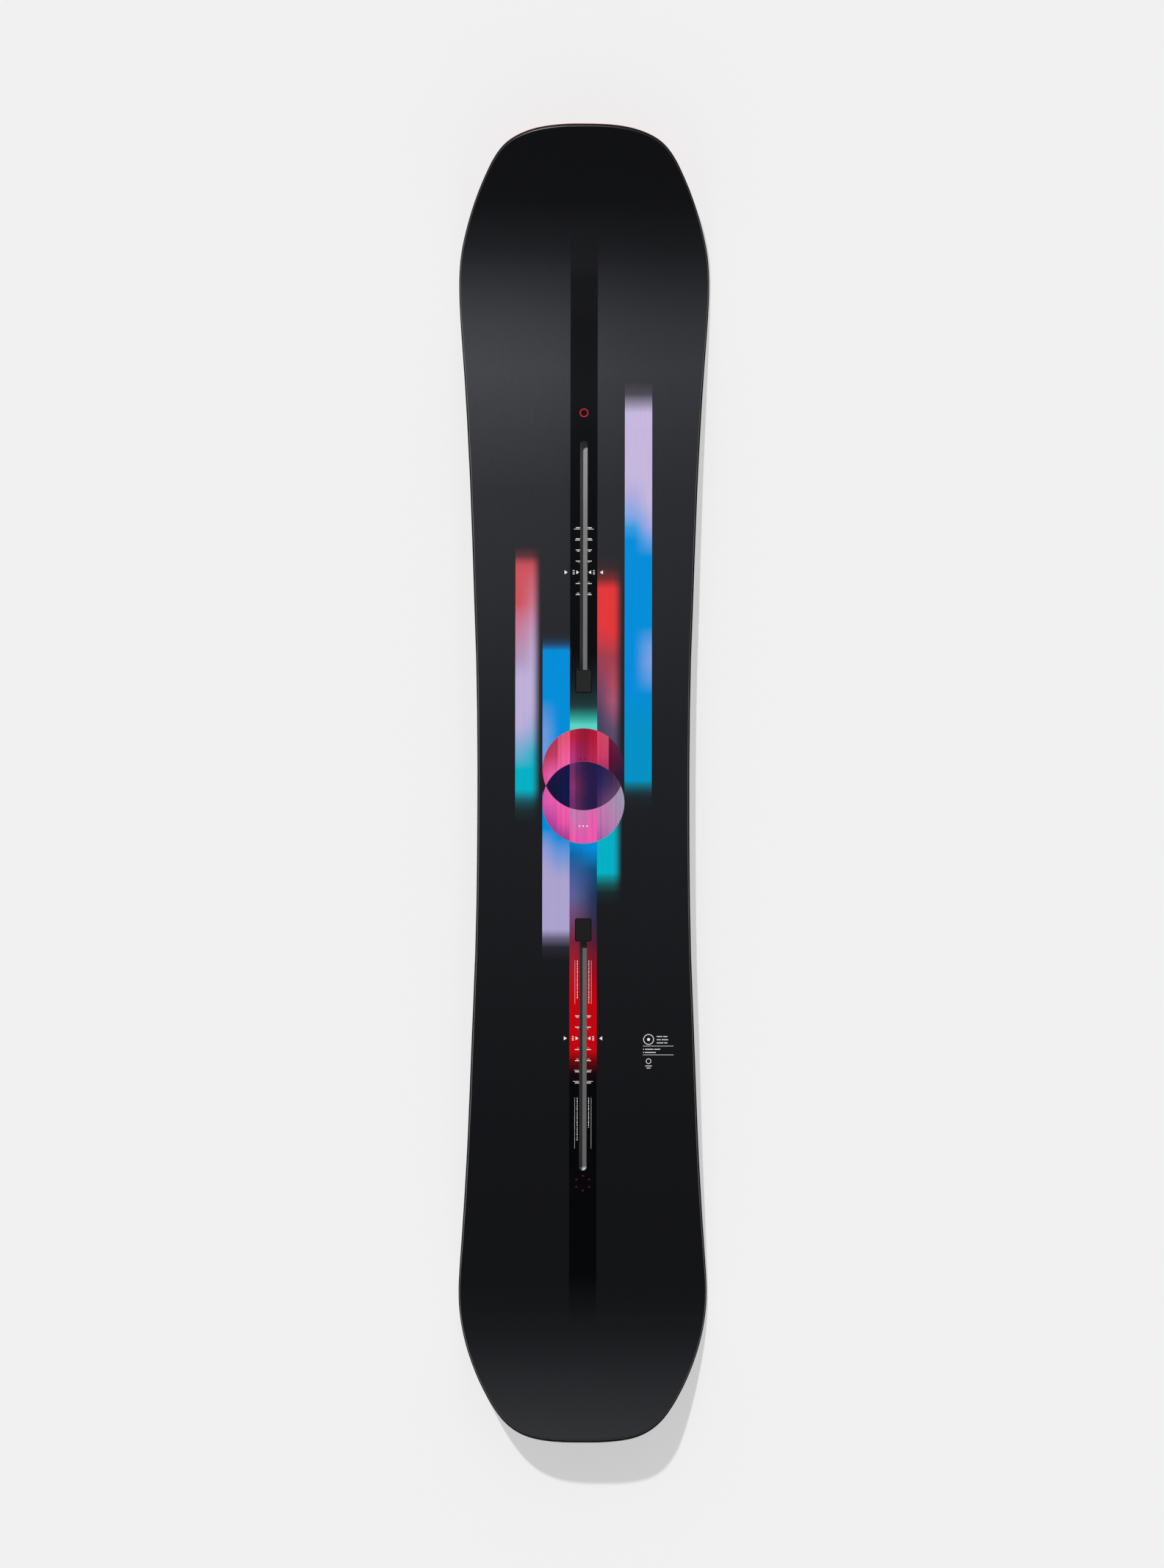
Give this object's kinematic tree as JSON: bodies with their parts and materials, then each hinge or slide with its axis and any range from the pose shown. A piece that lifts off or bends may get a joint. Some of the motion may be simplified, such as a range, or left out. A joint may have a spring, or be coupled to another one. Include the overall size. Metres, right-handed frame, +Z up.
{
  "type": "snowboard",
  "caption": "Bare directional cambered snowboard with a raised nose and tail, steel edges, and a slotted binding channel with a lift-out plug under each foot.",
  "frame": {"origin": "on the floor, under the middle of the overall length, on the centre line", "axes": "+Y towards the nose, +X towards the right-hand edge seen from above, +Z up"},
  "size_m": [0.2848, 1.49, 0.0513],
  "materials": {
    "topsheet": "satin",
    "glass_laminate": "satin",
    "core_wood": "raw",
    "cross_grain_wood": "raw",
    "spacer_plastic": "satin",
    "sidewall_plastic": "satin",
    "edge_steel": "ground",
    "foil_rubber": "matte",
    "base_middle": "waxed",
    "base_tips": "waxed",
    "channel_floor_metal": "satin",
    "channel_lip_metal": "satin",
    "channel_plastic": "satin",
    "plug_plastic": "satin"
  },
  "bodies": {
    "board": {"base_centre": "base_middle", "base_nose": "base_tips", "base_tail": "base_tips", "bottom_laminate": "glass_laminate", "core_centre_strip": "core_wood", "core_cross_grain_blocks_left": "cross_grain_wood", "core_cross_grain_blocks_right": "cross_grain_wood", "core_edge_rails_left": "core_wood", "core_edge_rails_right": "core_wood", "core_stringers_left": "core_wood", "core_stringers_right": "core_wood", "edge_foil_left": "foil_rubber", "edge_foil_right": "foil_rubber", "nose_channel_end_blocks": "channel_plastic", "nose_channel_floor": "channel_floor_metal", "nose_channel_lips": "channel_lip_metal", "nose_channel_rails": "channel_plastic", "nose_spacer": "spacer_plastic", "sidewall_left": "sidewall_plastic", "sidewall_right": "sidewall_plastic", "steel_edge_left": "edge_steel", "steel_edge_right": "edge_steel", "tail_channel_end_blocks": "channel_plastic", "tail_channel_floor": "channel_floor_metal", "tail_channel_lips": "channel_lip_metal", "tail_channel_rails": "channel_plastic", "tail_spacer": "spacer_plastic", "top_laminate": "glass_laminate", "topsheet": "topsheet"},
    "nose_plug": {"nose_channel_plug": "plug_plastic"},
    "tail_plug": {"tail_channel_plug": "plug_plastic"}
  },
  "joints": [
    {"name": "nose_plug_lift", "type": "slide", "parent": "board", "child": "nose_plug", "axis": [0, 0, 1], "range_m": [0, 0.03]},
    {"name": "tail_plug_lift", "type": "slide", "parent": "board", "child": "tail_plug", "axis": [0, 0, 1], "range_m": [0, 0.03]}
  ]
}
